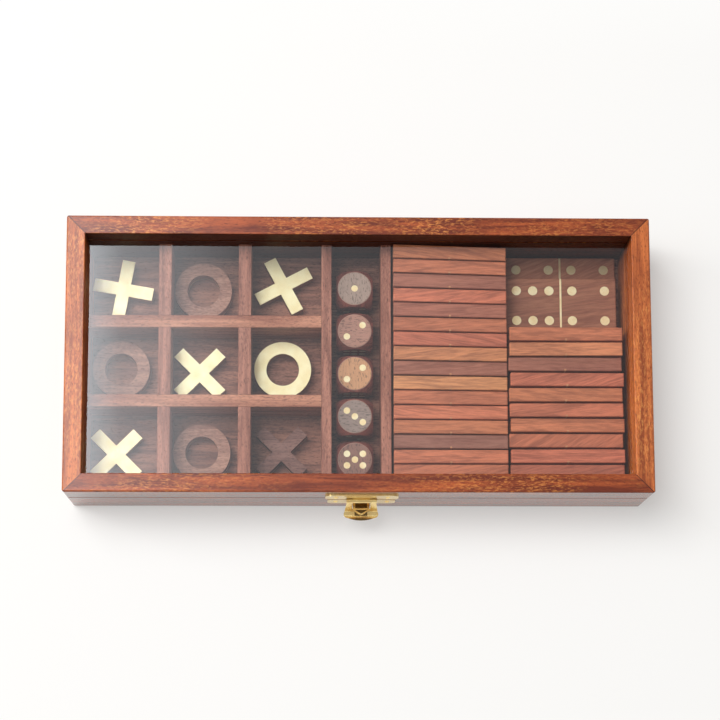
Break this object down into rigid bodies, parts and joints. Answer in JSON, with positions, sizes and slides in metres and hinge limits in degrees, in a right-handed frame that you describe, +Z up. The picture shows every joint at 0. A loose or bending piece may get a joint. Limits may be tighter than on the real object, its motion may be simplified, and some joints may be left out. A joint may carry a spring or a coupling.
{
  "type": "games compendium box",
  "caption": "Hardwood games box with a hinged glass lid and a front latch, holding noughts and crosses, dice and dominoes in fitted compartments.",
  "frame": {"origin": "centre of the underside of the closed box", "axes": "+X along the length with the dominoes on the +X side, +Y towards the hinges at the back, +Z up"},
  "size_m": [0.305, 0.1608, 0.05],
  "materials": {
    "case_wood": "satin varnished hardwood",
    "divider_wood": "satin hardwood",
    "floor_wood": "matt hardwood",
    "glass": "clear",
    "hardware_brass": "polished",
    "sheet_brass": "brushed",
    "token_wood": "satin hardwood",
    "dice_wood": "satin hardwood",
    "inlay_brass": "brushed",
    "domino_wood": "satin hardwood"
  },
  "bodies": {
    "base": {"front_wall": "case_wood", "back_wall": "case_wood", "left_wall": "case_wood", "right_wall": "case_wood", "floor_panel": "floor_wood", "grid_rail_front": "divider_wood", "grid_rail_back": "divider_wood", "grid_cross_left": "divider_wood", "grid_cross_right": "divider_wood", "dice_divider_left": "divider_wood", "dice_divider_right": "divider_wood", "hinge_base_leaves": "hardware_brass", "hinge_pins": "hardware_brass", "base_nails": "hardware_brass", "latch_catch_plate": "hardware_brass"},
    "lid": {"lid_front_rail": "case_wood", "lid_back_rail": "case_wood", "lid_left_stile": "case_wood", "lid_right_stile": "case_wood", "lid_glass": "glass", "hinge_lid_leaves": "hardware_brass", "lid_nails": "hardware_brass", "latch_hinge_plate": "hardware_brass", "latch_pin": "hardware_brass"},
    "latch_flap": {"latch_flap": "hardware_brass"},
    "cross_back_left": {"cross_back_left": "token_wood", "cross_back_left_brass": "sheet_brass"},
    "ring_back_middle": {"ring_back_middle": "token_wood", "ring_back_middle_brass": "sheet_brass"},
    "cross_back_right": {"cross_back_right": "token_wood", "cross_back_right_brass": "sheet_brass"},
    "ring_middle_left": {"ring_middle_left": "token_wood", "ring_middle_left_brass": "sheet_brass"},
    "cross_middle": {"cross_middle": "token_wood", "cross_middle_brass": "sheet_brass"},
    "ring_middle_right": {"ring_middle_right": "token_wood", "ring_middle_right_brass": "sheet_brass"},
    "cross_front_left": {"cross_front_left": "token_wood", "cross_front_left_brass": "sheet_brass"},
    "ring_front_middle": {"ring_front_middle": "token_wood", "ring_front_middle_brass": "sheet_brass"},
    "cross_front_right": {"cross_front_right": "token_wood", "cross_front_right_brass": "sheet_brass"},
    "die_1": {"die_1": "dice_wood", "die_1_pips": "inlay_brass"},
    "die_2": {"die_2": "dice_wood", "die_2_pips": "inlay_brass"},
    "die_3": {"die_3": "dice_wood", "die_3_pips": "inlay_brass"},
    "die_4": {"die_4": "dice_wood", "die_4_pips": "inlay_brass"},
    "die_5": {"die_5": "dice_wood", "die_5_pips": "inlay_brass"},
    "dominoes_left": {"dominoes_left": "domino_wood", "dominoes_left_inlays": "inlay_brass"},
    "dominoes_right": {"dominoes_right": "domino_wood", "dominoes_right_inlays": "inlay_brass"},
    "dominoes_flat": {"dominoes_flat": "domino_wood", "dominoes_flat_inlays": "inlay_brass"}
  },
  "joints": [
    {"name": "lid_hinge", "type": "hinge", "parent": "base", "child": "lid", "pos_m": [0, 0.07527, 0.0303], "axis": [-1, 0, 0], "range_deg": [0, 180]},
    {"name": "latch_flap_hinge", "type": "hinge", "parent": "lid", "child": "latch_flap", "pos_m": [0.0014, -0.07467, 0.0327], "axis": [-1, 0, 0], "range_deg": [0, 150]},
    {"name": "lift_cross_back_left", "type": "slide", "parent": "base", "child": "cross_back_left", "axis": [0, 0, 1], "range_m": [0, 0.024]},
    {"name": "lift_ring_back_middle", "type": "slide", "parent": "base", "child": "ring_back_middle", "axis": [0, 0, 1], "range_m": [0, 0.024]},
    {"name": "lift_cross_back_right", "type": "slide", "parent": "base", "child": "cross_back_right", "axis": [0, 0, 1], "range_m": [0, 0.024]},
    {"name": "lift_ring_middle_left", "type": "slide", "parent": "base", "child": "ring_middle_left", "axis": [0, 0, 1], "range_m": [0, 0.024]},
    {"name": "lift_cross_middle", "type": "slide", "parent": "base", "child": "cross_middle", "axis": [0, 0, 1], "range_m": [0, 0.024]},
    {"name": "lift_ring_middle_right", "type": "slide", "parent": "base", "child": "ring_middle_right", "axis": [0, 0, 1], "range_m": [0, 0.024]},
    {"name": "lift_cross_front_left", "type": "slide", "parent": "base", "child": "cross_front_left", "axis": [0, 0, 1], "range_m": [0, 0.024]},
    {"name": "lift_ring_front_middle", "type": "slide", "parent": "base", "child": "ring_front_middle", "axis": [0, 0, 1], "range_m": [0, 0.024]},
    {"name": "lift_cross_front_right", "type": "slide", "parent": "base", "child": "cross_front_right", "axis": [0, 0, 1], "range_m": [0, 0.024]},
    {"name": "lift_die_1", "type": "slide", "parent": "base", "child": "die_1", "axis": [0, 0, 1], "range_m": [0, 0.0125]},
    {"name": "lift_die_2", "type": "slide", "parent": "base", "child": "die_2", "axis": [0, 0, 1], "range_m": [0, 0.0125]},
    {"name": "lift_die_3", "type": "slide", "parent": "base", "child": "die_3", "axis": [0, 0, 1], "range_m": [0, 0.0125]},
    {"name": "lift_die_4", "type": "slide", "parent": "base", "child": "die_4", "axis": [0, 0, 1], "range_m": [0, 0.0125]},
    {"name": "lift_die_5", "type": "slide", "parent": "base", "child": "die_5", "axis": [0, 0, 1], "range_m": [0, 0.0125]},
    {"name": "lift_dominoes_left", "type": "slide", "parent": "base", "child": "dominoes_left", "axis": [0, 0, 1], "range_m": [0, 0.002]},
    {"name": "lift_dominoes_right", "type": "slide", "parent": "base", "child": "dominoes_right", "axis": [0, 0, 1], "range_m": [0, 0.002]},
    {"name": "lift_dominoes_flat", "type": "slide", "parent": "base", "child": "dominoes_flat", "axis": [0, 0, 1], "range_m": [0, 0.0175]}
  ]
}
